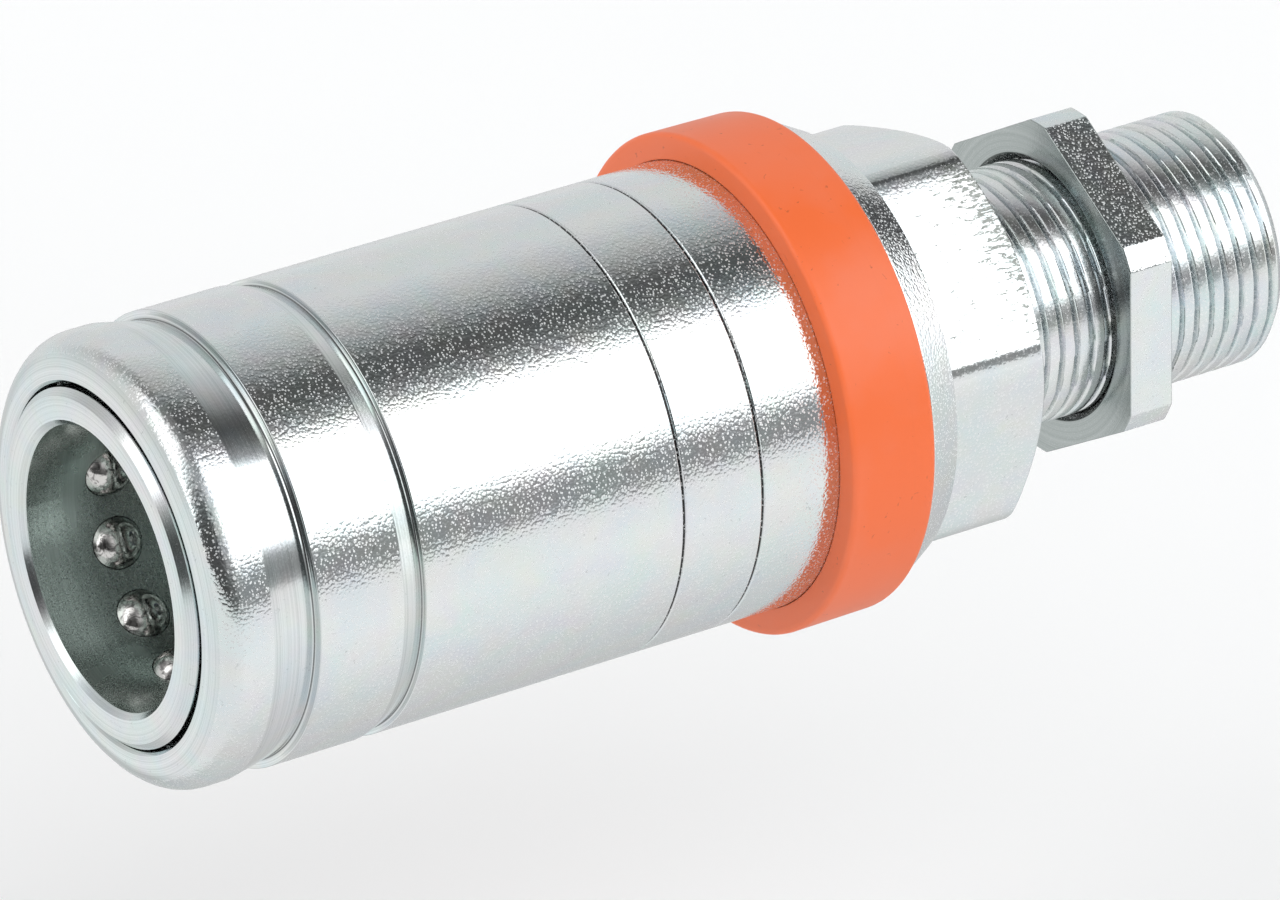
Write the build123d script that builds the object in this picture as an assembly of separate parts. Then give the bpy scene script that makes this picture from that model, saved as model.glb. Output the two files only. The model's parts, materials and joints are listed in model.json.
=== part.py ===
from build123d import *
import os
from math import radians, sqrt, tan

# Push-pull hydraulic coupling, female half, with a bulkhead thread and jam nut.
# The axis is X, with the plug socket at the low end and the tube thread at the high end.
# The origin is on the axis in the rear face of the hexagon, which seats on the bulkhead.

# Socket and ball lock
SOCKET_DIA = 23.8
SOCKET_DEPTH = 11.8
LIP_CHAMFER = 0.5
BALL_DIA = 4.76
BALL_COUNT = 12
BALL_CLOCK = 5.5
BALL_ROW = 8.2
BALL_PROTRUSION = 1.5
BALL_CLEARANCE = 0.05
LOCK_CLEARANCE = 0.04
LAND_LENGTH = 3.4

# Valve body
BODY_SIDE_GAP = 0.25
BODY_NOSE_CHAMFER = 0.6
SEAL_BORE_STEP = 1.55
SEAL_BORE_END = 27.0
SEAL_GROOVE_START = 16.4
SEAL_GROOVE_LENGTH = 4.4
SEAL_GROOVE_DEPTH = 2.4
THROAT_STEP = 2.75
THROAT_LENGTH = 1.5
JOINT_WALL = 1.95
JOINT_STEP = 1.0
SPRING_COLLAR_LENGTH = 2.0

# Sliding sleeve
SLEEVE_TRAVEL = 4.5
SLEEVE_SETBACK = 0.6
SLEEVE_WALL = 2.1
SLEEVE_NOSE_RADIUS = 3.0
SLEEVE_LIP_LENGTH = 0.7
SLEEVE_MOUTH_GAP = 0.3
SLEEVE_REAR_GAP = 0.3
RECESS_MARGIN = 0.09
RECESS_FRONT = 1.3
RECESS_REAR = 15.3
GUIDE_END = 20.0
GUIDE_CLEARANCE = 0.08
SPRING_ROOM = 1.95
GRIP_GROOVE_STARTS = (5.3, 17.2)
GRIP_GROOVE_ENDS = (9.45, 19.2)
GRIP_GROOVE_DEPTHS = (0.85, 0.6)
GRIP_GROOVE_FILLETS = (0.65, 0.4)
LABEL_LINES = (43.5, 51.0)
LABEL_LINE_WIDTH = 0.5
LABEL_LINE_DEPTH = 0.25
FLANGE_HEIGHT = 1.8
FLANGE_LENGTH = 3.6
RIM_WALL = 0.79

# Colour ring
RING_WALL = 2.28
RING_TAPER = 0.1
RING_LENGTH = 8.0
RING_EDGE = 0.25
RING_CLEARANCE = 0.02

# Sleeve spring seats
WASHER_THICKNESS = 1.0
CIRCLIP_THICKNESS = 1.2
CIRCLIP_BITE = 0.8
CIRCLIP_GAP_ANGLE = 36.0
SLEEVE_CLIP_HEIGHT = 0.96
SEAT_CLEARANCE = 0.05
SLEEVE_WIRE_DIA = 1.5
SLEEVE_COILS = 5

# Adapter
COLLAR_LENGTH = 8.2
COLLAR_STEP = 1.1
COLLAR_CLEARANCE = 0.06
COLLAR_EDGE = 0.4
HEX_FLAT_DEPTH = 2.0
HEX_LENGTH = 10.2
HEX_CLOCK = 43.4
HEX_FACE_STEP = 0.2
HEX_CHAMFER_ANGLE = 30.0
THREAD_WALL = 3.45
THREAD_LENGTH = 27.8
THREAD_CHAMFER = 0.9
TUBE_WALL = 1.5
TUBE_DIA = 15.0
TUBE_CLEARANCE = 0.05
TUBE_DEPTH = 7.0
CONE_WIDENING = 0.95
CONE_HALF_ANGLE = 12.0
SPIGOT_LENGTH = 11.6
SPIGOT_GAP = 0.7
SPIGOT_CLEARANCE = 0.07
SPIGOT_GROOVE_START = 1.2
SPIGOT_GROOVE_LENGTH = 3.0
SPIGOT_GROOVE_DEPTH = 1.75
FUNNEL_DEPTH = 3.0

# Jam nut
NUT_WALL = 2.55
NUT_CORNER_HEIGHT = 1.5
NUT_THICKNESS = 4.2
NUT_STANDOFF = 10.2
NUT_CLOCK = 27.8
NUT_CLEARANCE = 0.06
NUT_COUNTERSINK = 0.55

# Poppet valve
POPPET_TRAVEL = 6.0
POPPET_TIP_REACH = 4.9
POPPET_TIP_CHAMFER = 0.5
POPPET_TIP_TAPER = 1.0
POPPET_TIP_WALL = 1.0
POPPET_SHANK_STEP = 0.3
POPPET_SKIRT_CLEARANCE = 0.6
POPPET_STEM_DIA = 6.0
POPPET_HEAD_CLEARANCE = 2.4
POPPET_HEAD_LENGTH = 2.8
STEM_PAST_GUIDE = 1.0
SEAT_INSET = 0.4
SEAT_GAP = 0.02
HEAD_GAP = 0.2
SKIRT_LENGTH = 0.3
POPPET_SEAL_LENGTH = 1.3
POPPET_SPRING_LENGTH = 13.0
POPPET_SEAL_HUB_WALL = 2.5
STEM_FIT = 0.02
STEM_SOCKET_DEPTH = 3.2
GUIDE_HUB_WALL = 2.0
GUIDE_HUB_LENGTH = 7.5
GUIDE_RING_LENGTH = 2.4
GUIDE_RING_WIDTH = 4.6
GUIDE_LEG_WIDTH = 3.0
GUIDE_LEG_COUNT = 3
GUIDE_BORE_CLEARANCE = 0.05
GUIDE_CLIP_HEIGHT = 1.6
VALVE_WIRE_DIA = 1.2
VALVE_COILS = 4

# Seals
BORE_SEAL_SECTION = 2.62
BORE_SEAL_SQUEEZE = 0.25
JOINT_SEAL_SECTION = 1.72
SEAL_CLEARANCE = 0.04
BACKUP_LIP = 0.05

# Body length: the seal bore and the closed valve, then the guide, its snap ring and the spigot
POPPET_LENGTH = SEAT_INSET + POPPET_SEAL_LENGTH + POPPET_HEAD_LENGTH
VALVE_LENGTH = SEAL_BORE_END + THROAT_LENGTH + POPPET_LENGTH + POPPET_SPRING_LENGTH
JOINT_LENGTH = GUIDE_RING_LENGTH + 2 * SEAT_CLEARANCE + CIRCLIP_THICKNESS + SPIGOT_GAP + SPIGOT_LENGTH
BODY_LENGTH = VALVE_LENGTH + JOINT_LENGTH

# Stations along the axis
X_HEX_FRONT = -HEX_LENGTH
X_BODY_REAR = X_HEX_FRONT - COLLAR_LENGTH
X_FACE = X_BODY_REAR - BODY_LENGTH
X_BALLS = X_FACE + BALL_ROW
X_SLEEVE_FRONT = X_FACE + SLEEVE_SETBACK
X_SLEEVE_REAR = X_HEX_FRONT - SLEEVE_REAR_GAP
X_FLANGE = X_SLEEVE_REAR - FLANGE_LENGTH
X_SLEEVE_STEP = X_BODY_REAR - SLEEVE_TRAVEL - SLEEVE_REAR_GAP
X_GUIDE_END = X_FACE + GUIDE_END
X_CLIP = X_SLEEVE_STEP - 2 * CIRCLIP_THICKNESS
X_REAR_SEAT = X_CLIP - SEAT_CLEARANCE - WASHER_THICKNESS
X_FRONT_SEAT = X_GUIDE_END + SEAT_CLEARANCE + WASHER_THICKNESS
X_COLLAR_FRONT = (X_FRONT_SEAT + X_REAR_SEAT - SPRING_COLLAR_LENGTH) / 2
X_COLLAR_REAR = X_COLLAR_FRONT + SPRING_COLLAR_LENGTH
X_SPIGOT = X_BODY_REAR - SPIGOT_LENGTH
X_THROAT = X_FACE + SEAL_BORE_END
X_SEAT = X_THROAT + THROAT_LENGTH
X_CHAMBER_END = X_FACE + VALVE_LENGTH
X_GUIDE_CLIP = X_CHAMBER_END + GUIDE_RING_LENGTH + 2 * SEAT_CLEARANCE

# Radii from the socket outwards
SOCKET_R = SOCKET_DIA / 2
BALL_R = BALL_DIA / 2
BALL_CIRCLE_R = SOCKET_R - BALL_PROTRUSION + BALL_R
LAND_R = BALL_CIRCLE_R + BALL_R + LOCK_CLEARANCE
BODY_R = LAND_R - BODY_SIDE_GAP
RECESS_R = LAND_R + BALL_PROTRUSION + RECESS_MARGIN
GUIDE_R = BODY_R + GUIDE_CLEARANCE
SPRING_BORE_R = BODY_R + SPRING_ROOM
SLEEVE_R = SPRING_BORE_R + SLEEVE_WALL
COLLAR_R = SPRING_BORE_R + COLLAR_STEP
REAR_BORE_R = COLLAR_R + COLLAR_CLEARANCE
SEAL_BORE_R = SOCKET_R - SEAL_BORE_STEP
THROAT_R = SEAL_BORE_R - THROAT_STEP
JOINT_R = BODY_R - JOINT_WALL
CHAMBER_R = JOINT_R - JOINT_STEP
FLANGE_R = SLEEVE_R + FLANGE_HEIGHT
RING_BORE_R = SLEEVE_R + RING_CLEARANCE
RING_R = RING_BORE_R + RING_WALL
HEX_FLAT_R = COLLAR_R - HEX_FLAT_DEPTH
TUBE_BORE_R = TUBE_DIA / 2 + TUBE_CLEARANCE
FLOW_R = TUBE_DIA / 2 - TUBE_WALL
CONE_MOUTH_R = TUBE_BORE_R + CONE_WIDENING
THREAD_R = TUBE_DIA / 2 + THREAD_WALL
NUT_FLAT_R = THREAD_R + NUT_WALL
STEM_R = POPPET_STEM_DIA / 2
HUB_R = STEM_R + GUIDE_HUB_WALL
GUIDE_RING_BORE_R = JOINT_R - GUIDE_RING_WIDTH
SEAL_HUB_R = STEM_R + POPPET_SEAL_HUB_WALL
HEAD_R = CHAMBER_R - POPPET_HEAD_CLEARANCE

# Poppet stations: the seal's cone follows the seat
X_SEAL = X_SEAT + SEAT_INSET
X_HEAD = X_SEAL + POPPET_SEAL_LENGTH
X_HEAD_REAR = X_HEAD + POPPET_HEAD_LENGTH


def turned(*stations):
    """Solid of revolution about X from (x, radius) or (x, radius, fillet) corners."""
    corners = [(x, r) for x, r, *_ in stations]
    fillets = [rest[0] if rest else 0 for _, _, *rest in stations]
    outline = FilletPolyline(*corners, radius=fillets, close=True)
    return revolve(make_face(outline), axis=Axis.X)


def ring(x_start, x_end, inner_r, outer_r):
    """Plain flat-sided ring."""
    return turned((x_start, inner_r), (x_start, outer_r), (x_end, outer_r), (x_end, inner_r))


def round_ring(x_mid, inner_r, section):
    """Seal ring of round section."""
    middle = Location((x_mid, inner_r + section / 2))
    return revolve(middle * Circle(section / 2), axis=Axis.X)


def snap_ring(x_start, inner_r, outer_r):
    """Retaining ring with a gap at its lowest point."""
    whole = ring(x_start, x_start + CIRCLIP_THICKNESS, inner_r, outer_r)
    wedge_reach = 2 * outer_r
    half_gap = wedge_reach * tan(radians(CIRCLIP_GAP_ANGLE / 2))
    wedge = Polyline((0, 0), (half_gap, -wedge_reach), (-half_gap, -wedge_reach), close=True)
    gap = extrude(Plane.YZ.offset(x_start) * make_face(wedge), CIRCLIP_THICKNESS)
    return whole - gap


def coil_spring(x_start, x_end, mean_r, wire_dia, coils):
    """Compression spring with its two ends ground flat."""
    length = x_end - x_start
    path = Helix(pitch=length / coils, height=length, radius=mean_r)
    wire = sweep(Plane(path @ 0, z_dir=path % 0) * Circle(wire_dia / 2), path=path)
    end_planes = Pos(0, 0, length / 2) * Cylinder(2 * mean_r, length)
    return Pos(x_start, 0, 0) * Rot(Y=90) * (wire & end_planes)


def hexagon(x_start, length, flat_r, clock):
    """Hexagonal prism along X with one corner at the clock angle from +Y."""
    outline = RegularPolygon(flat_r, 6, major_radius=False, rotation=clock)
    return extrude(Plane.YZ.offset(x_start) * outline, length)


def around_axis(piece, count, clock=0.0):
    """Copies of a piece turned in equal steps about X."""
    return [Rot(X=clock + 360 / count * i) * piece for i in range(count)]


def locking_balls():
    ball = Pos(X_BALLS, BALL_CIRCLE_R, 0) * Sphere(BALL_R)
    return Compound(children=around_axis(ball, BALL_COUNT, BALL_CLOCK))


def ball_holes():
    """Radial holes whose round seats keep the balls from falling into the socket."""
    hole_r = BALL_R + BALL_CLEARANCE
    reach = BODY_R + BALL_R - BALL_CIRCLE_R
    seat = Pos(X_BALLS, BALL_CIRCLE_R, 0) * Sphere(hole_r)
    bore = Pos(X_BALLS, BALL_CIRCLE_R + reach / 2, 0) * Rot(X=-90) * Cylinder(hole_r, reach)
    return around_axis(seat + bore, BALL_COUNT, BALL_CLOCK)


def valve_body():
    """Ball carrier, seal bore and valve chamber in one turned piece."""
    cone_end = X_FACE + SOCKET_DEPTH + SEAL_BORE_STEP
    groove_start = X_FACE + SEAL_GROOVE_START
    groove_end = groove_start + SEAL_GROOVE_LENGTH
    groove_r = SEAL_BORE_R + SEAL_GROOVE_DEPTH
    collar_r = SPRING_BORE_R - GUIDE_CLEARANCE
    clip_end = X_GUIDE_CLIP + CIRCLIP_THICKNESS + SEAT_CLEARANCE
    clip_r = JOINT_R + CIRCLIP_BITE + SEAT_CLEARANCE
    blank = turned(
        (X_FACE, SOCKET_R + LIP_CHAMFER),
        (X_FACE, BODY_R - BODY_NOSE_CHAMFER),
        (X_FACE + BODY_NOSE_CHAMFER, BODY_R),
        (X_COLLAR_FRONT, BODY_R),
        (X_COLLAR_FRONT, collar_r),
        (X_COLLAR_REAR, collar_r),
        (X_COLLAR_REAR, BODY_R),
        (X_BODY_REAR, BODY_R),
        (X_BODY_REAR, JOINT_R),
        (clip_end, JOINT_R),
        (clip_end, clip_r),
        (X_GUIDE_CLIP, clip_r),
        (X_GUIDE_CLIP, JOINT_R),
        (X_CHAMBER_END, JOINT_R),
        (X_CHAMBER_END, CHAMBER_R),
        (X_SEAT + CHAMBER_R - THROAT_R, CHAMBER_R),
        (X_SEAT, THROAT_R),
        (X_THROAT, THROAT_R),
        (X_THROAT, SEAL_BORE_R),
        (groove_end, SEAL_BORE_R),
        (groove_end, groove_r),
        (groove_start, groove_r),
        (groove_start, SEAL_BORE_R),
        (cone_end, SEAL_BORE_R),
        (X_FACE + SOCKET_DEPTH, SOCKET_R),
        (X_FACE + LIP_CHAMFER, SOCKET_R),
    )
    return blank - ball_holes()


def grip_groove(start, end, depth, fillet):
    """Outline of a groove that slopes in from the front and steps out at its rear."""
    return [
        (X_FACE + start, SLEEVE_R),
        (X_FACE + end, SLEEVE_R - depth, fillet),
        (X_FACE + end, SLEEVE_R),
    ]


def label_line(offset):
    """Outline of a fine V-shaped line."""
    half = LABEL_LINE_WIDTH / 2
    x = X_FACE + offset
    return [(x - half, SLEEVE_R), (x, SLEEVE_R - LABEL_LINE_DEPTH), (x + half, SLEEVE_R)]


def outer_sleeve():
    """Push-pull sleeve with its locking land between two release recesses."""
    land_front = X_BALLS - LAND_LENGTH / 2
    land_rear = X_BALLS + LAND_LENGTH / 2
    ramp = RECESS_R - LAND_R
    mouth_r = LAND_R + LOCK_CLEARANCE
    clip_r = SPRING_BORE_R + CIRCLIP_BITE + SEAT_CLEARANCE
    groove_sizes = zip(GRIP_GROOVE_STARTS, GRIP_GROOVE_ENDS, GRIP_GROOVE_DEPTHS, GRIP_GROOVE_FILLETS)
    grooves = [grip_groove(*sizes) for sizes in groove_sizes]
    lines = [label_line(offset) for offset in LABEL_LINES]
    outside = [corner for outline in grooves + lines for corner in outline]
    return turned(
        (X_SLEEVE_FRONT, mouth_r + SLEEVE_MOUTH_GAP),
        (X_SLEEVE_FRONT, SLEEVE_R, SLEEVE_NOSE_RADIUS),
        *outside,
        (X_FLANGE, SLEEVE_R),
        (X_FLANGE, FLANGE_R),
        (X_SLEEVE_REAR, REAR_BORE_R + RIM_WALL),
        (X_SLEEVE_REAR, REAR_BORE_R),
        (X_SLEEVE_STEP, REAR_BORE_R),
        (X_SLEEVE_STEP, SPRING_BORE_R),
        (X_CLIP + CIRCLIP_THICKNESS + SEAT_CLEARANCE, SPRING_BORE_R),
        (X_CLIP + CIRCLIP_THICKNESS + SEAT_CLEARANCE, clip_r),
        (X_CLIP, clip_r),
        (X_CLIP, SPRING_BORE_R),
        (X_GUIDE_END, SPRING_BORE_R),
        (X_GUIDE_END, GUIDE_R),
        (X_FACE + RECESS_REAR, GUIDE_R),
        (X_FACE + RECESS_REAR, RECESS_R),
        (land_rear + ramp, RECESS_R),
        (land_rear, LAND_R),
        (land_front, LAND_R),
        (land_front - ramp, RECESS_R),
        (X_FACE + RECESS_FRONT, RECESS_R),
        (X_FACE + RECESS_FRONT, mouth_r),
        (X_SLEEVE_FRONT + SLEEVE_MOUTH_GAP, mouth_r),
    )


def colour_ring():
    """Moulded ring pushed along the sleeve against its rear flange."""
    front = X_FLANGE - RING_LENGTH
    rear = X_FLANGE - RING_CLEARANCE
    return turned(
        (front, RING_BORE_R),
        (front, RING_R, RING_EDGE),
        (rear, RING_R - RING_TAPER, RING_EDGE),
        (rear, RING_BORE_R),
    )


def spring_washer(x_start):
    return ring(x_start, x_start + WASHER_THICKNESS,
                BODY_R + GUIDE_CLEARANCE, SPRING_BORE_R - GUIDE_CLEARANCE)


def sleeve_spring(x_start, x_end):
    return coil_spring(x_start, x_end, (BODY_R + SPRING_BORE_R) / 2, SLEEVE_WIRE_DIA, SLEEVE_COILS)


def adapter():
    """Spigot, guide collar, hexagon and threaded tube end in one turned piece."""
    spigot_r = JOINT_R - SPIGOT_CLEARANCE
    groove_start = X_SPIGOT + SPIGOT_GROOVE_START
    groove_end = groove_start + SPIGOT_GROOVE_LENGTH
    face_r = HEX_FLAT_R - HEX_FACE_STEP
    chamfer = (COLLAR_R - face_r) * tan(radians(HEX_CHAMFER_ANGLE))
    cone_depth = CONE_WIDENING / tan(radians(CONE_HALF_ANGLE))
    blank = turned(
        (X_SPIGOT, FLOW_R + FUNNEL_DEPTH),
        (X_SPIGOT, spigot_r),
        (groove_start, spigot_r),
        (groove_start, spigot_r - SPIGOT_GROOVE_DEPTH),
        (groove_end, spigot_r - SPIGOT_GROOVE_DEPTH),
        (groove_end, spigot_r),
        (X_BODY_REAR, spigot_r),
        (X_BODY_REAR, COLLAR_R - COLLAR_EDGE),
        (X_BODY_REAR + COLLAR_EDGE, COLLAR_R),
        (-chamfer, COLLAR_R),
        (0, face_r),
        (0, THREAD_R),
        (THREAD_LENGTH - THREAD_CHAMFER, THREAD_R),
        (THREAD_LENGTH, THREAD_R - THREAD_CHAMFER),
        (THREAD_LENGTH, CONE_MOUTH_R),
        (THREAD_LENGTH - cone_depth, TUBE_BORE_R),
        (THREAD_LENGTH - TUBE_DEPTH, TUBE_BORE_R),
        (THREAD_LENGTH - TUBE_DEPTH, FLOW_R),
        (X_SPIGOT + FUNNEL_DEPTH, FLOW_R),
    )
    stock = ring(X_HEX_FRONT, 0, FLOW_R, 2 * COLLAR_R)
    waste = stock - hexagon(X_HEX_FRONT, HEX_LENGTH, HEX_FLAT_R, HEX_CLOCK)
    return blank - waste


def jam_nut():
    """Thin hexagon nut with turned corners and countersunk ends."""
    bore_r = THREAD_R + NUT_CLEARANCE
    front = NUT_STANDOFF
    rear = front + NUT_THICKNESS
    corner_r = NUT_FLAT_R + NUT_CORNER_HEIGHT
    blank = turned(
        (front, bore_r + NUT_COUNTERSINK),
        (front, corner_r),
        (rear, corner_r),
        (rear, bore_r + NUT_COUNTERSINK),
        (rear - NUT_COUNTERSINK, bore_r),
        (front + NUT_COUNTERSINK, bore_r),
    )
    return blank & hexagon(front, NUT_THICKNESS, NUT_FLAT_R, NUT_CLOCK)


def seat_radius(x, gap):
    """Radius at x of a 45 degree cone that lies a square gap inside the seat."""
    return THROAT_R + x - X_SEAT - gap * sqrt(2)


def poppet():
    """Stem and head; the head's edge follows the seat."""
    front_r = seat_radius(X_HEAD, HEAD_GAP)
    hub_rear = X_CHAMBER_END + GUIDE_RING_LENGTH
    return turned(
        (X_HEAD - STEM_SOCKET_DEPTH, 0),
        (X_HEAD - STEM_SOCKET_DEPTH, STEM_R),
        (X_HEAD, STEM_R),
        (X_HEAD, front_r),
        (X_HEAD + HEAD_R - front_r, HEAD_R),
        (X_HEAD_REAR, HEAD_R),
        (X_HEAD_REAR, STEM_R),
        (hub_rear + STEM_PAST_GUIDE, STEM_R),
        (hub_rear + STEM_PAST_GUIDE, 0),
    )


def poppet_seal():
    """Moulded ring held in front of the head, against the seat."""
    return turned(
        (X_SEAL, SEAL_HUB_R),
        (X_SEAL, seat_radius(X_SEAL, SEAT_GAP)),
        (X_HEAD, seat_radius(X_HEAD, SEAT_GAP)),
        (X_HEAD, SEAL_HUB_R),
    )


def poppet_tip():
    """Nose of the poppet, which the plug's own poppet pushes back."""
    start = X_SEAL - POPPET_TIP_REACH
    shank_r = STEM_R + POPPET_SHANK_STEP
    skirt_r = THROAT_R - POPPET_SKIRT_CLEARANCE
    hub_r = SEAL_HUB_R - STEM_FIT
    socket_r = STEM_R + STEM_FIT
    socket_end = X_HEAD - STEM_SOCKET_DEPTH - STEM_FIT
    skirt_front = X_SEAL - SKIRT_LENGTH
    return turned(
        (start, 0),
        (start, shank_r - POPPET_TIP_CHAMFER),
        (start + POPPET_TIP_TAPER, shank_r),
        (socket_end - POPPET_TIP_WALL, shank_r),
        (skirt_front, skirt_r),
        (X_SEAL - STEM_FIT, skirt_r),
        (X_SEAL - STEM_FIT, hub_r),
        (X_HEAD - STEM_FIT, hub_r),
        (X_HEAD - STEM_FIT, socket_r),
        (socket_end, socket_r),
        (socket_end, 0),
    )


def poppet_guide():
    """Hub on three legs inside the ring that the snap ring holds."""
    front = X_CHAMBER_END + SEAT_CLEARANCE
    rear = front + GUIDE_RING_LENGTH
    hub = ring(rear - GUIDE_HUB_LENGTH, rear, STEM_R + GUIDE_BORE_CLEARANCE, HUB_R)
    rim = ring(front, rear, GUIDE_RING_BORE_R, JOINT_R - SEAT_CLEARANCE)
    leg_in = HUB_R - GUIDE_HUB_WALL / 2
    leg_out = GUIDE_RING_BORE_R + JOINT_STEP
    leg_box = Box(GUIDE_RING_LENGTH, leg_out - leg_in, GUIDE_LEG_WIDTH)
    leg = Pos((front + rear) / 2, (leg_in + leg_out) / 2, 0) * leg_box
    return hub + rim + around_axis(leg, GUIDE_LEG_COUNT)


def guide_circlip():
    start = X_GUIDE_CLIP + SEAT_CLEARANCE / 2
    return snap_ring(start, JOINT_R - GUIDE_CLIP_HEIGHT, JOINT_R + CIRCLIP_BITE)


def sleeve_circlip():
    start = X_CLIP + SEAT_CLEARANCE / 2
    return snap_ring(start, SPRING_BORE_R - SLEEVE_CLIP_HEIGHT, SPRING_BORE_R + CIRCLIP_BITE)


def poppet_spring():
    mean_r = (GUIDE_RING_BORE_R + HEAD_R) / 2
    x_end = X_CHAMBER_END + SEAT_CLEARANCE
    return coil_spring(X_HEAD_REAR, x_end, mean_r, VALVE_WIRE_DIA, VALVE_COILS)


def bore_seal():
    x_mid = X_FACE + SEAL_GROOVE_START + BORE_SEAL_SECTION / 2 + SEAL_CLEARANCE
    return round_ring(x_mid, SEAL_BORE_R - BORE_SEAL_SQUEEZE, BORE_SEAL_SECTION)


def bore_backup_ring():
    start = X_FACE + SEAL_GROOVE_START + BORE_SEAL_SECTION + 2 * SEAL_CLEARANCE
    end = X_FACE + SEAL_GROOVE_START + SEAL_GROOVE_LENGTH - SEAL_CLEARANCE
    return ring(start, end, SEAL_BORE_R + BACKUP_LIP, SEAL_BORE_R + SEAL_GROOVE_DEPTH - SEAL_CLEARANCE)


def joint_groove_r():
    return JOINT_R - SPIGOT_CLEARANCE - SPIGOT_GROOVE_DEPTH


def joint_seal():
    x_mid = X_SPIGOT + SPIGOT_GROOVE_START + JOINT_SEAL_SECTION / 2 + SEAL_CLEARANCE
    return round_ring(x_mid, joint_groove_r() + SEAL_CLEARANCE, JOINT_SEAL_SECTION)


def joint_backup_ring():
    start = X_SPIGOT + SPIGOT_GROOVE_START + JOINT_SEAL_SECTION + 2 * SEAL_CLEARANCE
    end = X_SPIGOT + SPIGOT_GROOVE_START + SPIGOT_GROOVE_LENGTH - SEAL_CLEARANCE
    return ring(start, end, joint_groove_r() + SEAL_CLEARANCE, JOINT_R - SEAL_CLEARANCE)


NODES = {
    "valve_body": valve_body(),
    "locking_balls": locking_balls(),
    "adapter": adapter(),
    "jam_nut": jam_nut(),
    "outer_sleeve": outer_sleeve(),
    "colour_ring": colour_ring(),
    "front_spring_washer": spring_washer(X_GUIDE_END + SEAT_CLEARANCE),
    "rear_spring_washer": spring_washer(X_REAR_SEAT),
    "sleeve_circlip": sleeve_circlip(),
    "front_centring_spring": sleeve_spring(X_FRONT_SEAT, X_COLLAR_FRONT),
    "rear_centring_spring": sleeve_spring(X_COLLAR_REAR, X_REAR_SEAT),
    "poppet": poppet(),
    "poppet_tip": poppet_tip(),
    "poppet_seal": poppet_seal(),
    "poppet_spring": poppet_spring(),
    "poppet_guide": poppet_guide(),
    "guide_circlip": guide_circlip(),
    "bore_seal": bore_seal(),
    "bore_backup_ring": bore_backup_ring(),
    "joint_seal": joint_seal(),
    "joint_backup_ring": joint_backup_ring(),
}

os.makedirs("parts", exist_ok=True)
for name, solid in NODES.items():
    export_step(solid, f"parts/{name}.step")
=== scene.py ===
"""Looks of a push-pull hydraulic coupling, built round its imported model.

Lengths in the functions are millimetres, along the coupling's axis (X) from the hexagon's rear face
and out from the axis. Meshes and properties are in metres.
"""

import json
import math

import bpy
import numpy as np
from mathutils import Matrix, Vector

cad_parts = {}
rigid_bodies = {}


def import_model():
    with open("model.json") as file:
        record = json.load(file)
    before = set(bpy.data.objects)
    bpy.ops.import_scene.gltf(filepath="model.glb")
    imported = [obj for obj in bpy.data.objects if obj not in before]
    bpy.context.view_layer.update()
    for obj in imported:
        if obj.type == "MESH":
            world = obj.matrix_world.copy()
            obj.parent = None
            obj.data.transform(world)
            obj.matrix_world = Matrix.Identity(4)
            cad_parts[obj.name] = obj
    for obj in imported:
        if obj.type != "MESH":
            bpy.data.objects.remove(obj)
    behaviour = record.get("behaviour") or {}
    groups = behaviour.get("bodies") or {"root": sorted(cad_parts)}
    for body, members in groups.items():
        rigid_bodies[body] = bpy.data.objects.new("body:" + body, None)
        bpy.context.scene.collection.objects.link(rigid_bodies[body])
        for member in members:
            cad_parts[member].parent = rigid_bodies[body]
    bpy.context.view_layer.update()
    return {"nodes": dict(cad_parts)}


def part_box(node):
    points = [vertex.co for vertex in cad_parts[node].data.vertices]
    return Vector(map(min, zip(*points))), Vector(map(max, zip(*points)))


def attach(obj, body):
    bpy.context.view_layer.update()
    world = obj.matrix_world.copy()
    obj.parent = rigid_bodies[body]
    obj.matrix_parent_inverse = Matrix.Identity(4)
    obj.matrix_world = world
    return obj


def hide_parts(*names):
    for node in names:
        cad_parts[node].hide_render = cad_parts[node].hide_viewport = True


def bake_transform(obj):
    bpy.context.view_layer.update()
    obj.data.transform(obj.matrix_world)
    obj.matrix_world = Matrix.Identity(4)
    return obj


bl_info = {
    "name": "Push-pull hydraulic coupling",
    "version": (1, 0, 0),
    "blender": (4, 5, 0),
    "location": "View3D > Sidebar > Coupling",
    "description": "Plated steel, moulded ring, threads and studio for a hydraulic coupling",
    "category": "Object",
}

for leftover in list(bpy.data.objects):
    bpy.data.objects.remove(leftover)
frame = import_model()
MM = 0.001
FACE = -80.4        # front end of the socket body, from the hexagon's rear face
TINY = 1e-9         # keeps a division by a length or a size away from zero


# Sizes and colours that a user would change

def length(name, millimetres, description):
    """Length property whose default is given in millimetres."""
    return bpy.props.FloatProperty(name=name, description=description, default=millimetres * MM,
                                   unit="LENGTH", precision=5)


def angle(name, degrees, description):
    """Angle property whose default is given in degrees."""
    return bpy.props.FloatProperty(name=name, description=description, default=math.radians(degrees),
                                   subtype="ANGLE")


def colour(name, value, description):
    """Linear colour property."""
    return bpy.props.FloatVectorProperty(name=name, description=description, default=value, size=3,
                                         subtype="COLOR", min=0.0, max=1.0)


def share(name, value, description):
    """Number from 0 to 1."""
    return bpy.props.FloatProperty(name=name, description=description, default=value,
                                   min=0.0, max=1.0, subtype="FACTOR")


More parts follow.
